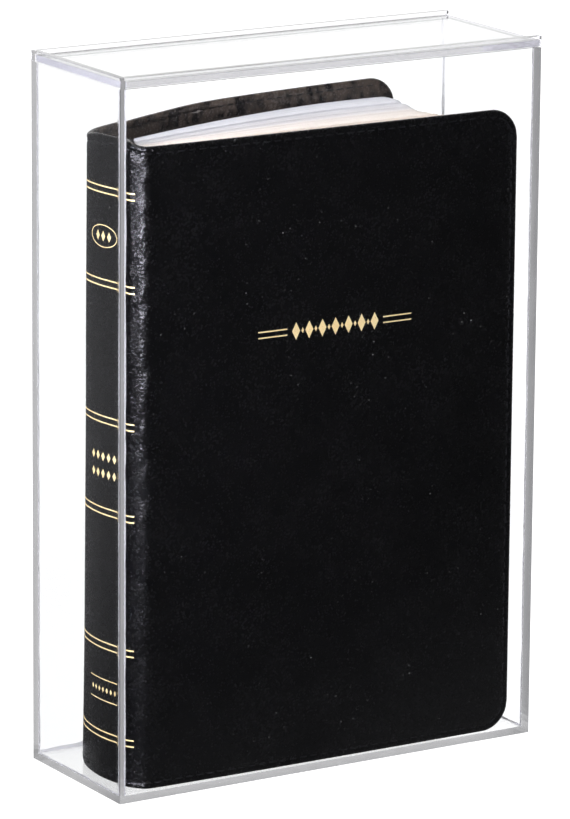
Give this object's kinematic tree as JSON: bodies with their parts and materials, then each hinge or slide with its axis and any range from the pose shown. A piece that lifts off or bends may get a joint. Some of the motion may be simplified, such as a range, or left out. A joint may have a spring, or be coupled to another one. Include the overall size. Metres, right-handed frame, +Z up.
{
  "type": "display case with bible",
  "caption": "Clear acrylic display case, closed on five sides, with a flat lid that slides out in grooves, holding one upright leather-bound Bible.",
  "frame": {"origin": "centre of the case's footprint, on the surface that it stands on", "axes": "+Z up; -Y is the case's front, where the front cover of the Bible faces; +X is to the right seen from the front, and the lid slides out along +X"},
  "size_m": [0.178, 0.065, 0.267],
  "materials": {
    "clear_acrylic": "polished",
    "black_leather": "satin",
    "cover_board": "matte",
    "dark_lining": "satin",
    "bible_paper": "matte",
    "binding_cloth": "matte"
  },
  "bodies": {
    "case": {"front_panel": "clear_acrylic", "back_panel": "clear_acrylic", "left_panel": "clear_acrylic", "right_panel": "clear_acrylic", "bottom_panel": "clear_acrylic"},
    "lid": {"sliding_lid": "clear_acrylic"},
    "bible": {"leather_cover": "black_leather", "front_board": "cover_board", "back_board": "cover_board", "spine_stiffener": "cover_board", "front_lining": "dark_lining", "back_lining": "dark_lining", "front_flyleaf": "bible_paper", "back_flyleaf": "bible_paper", "page_section_1": "bible_paper", "page_section_2": "bible_paper", "page_section_3": "bible_paper", "page_section_4": "bible_paper", "page_section_5": "bible_paper", "page_section_6": "bible_paper", "page_section_7": "bible_paper", "page_section_8": "bible_paper", "spine_gauze": "binding_cloth", "head_band": "binding_cloth", "tail_band": "binding_cloth"}
  },
  "joints": [
    {"name": "lid_slide", "type": "slide", "parent": "case", "child": "lid", "axis": [1, 0, 0], "range_m": [0, 0.18]},
    {"name": "bible_lift", "type": "slide", "parent": "case", "child": "bible", "axis": [0, 0, 1], "range_m": [0, 0.0165]}
  ]
}
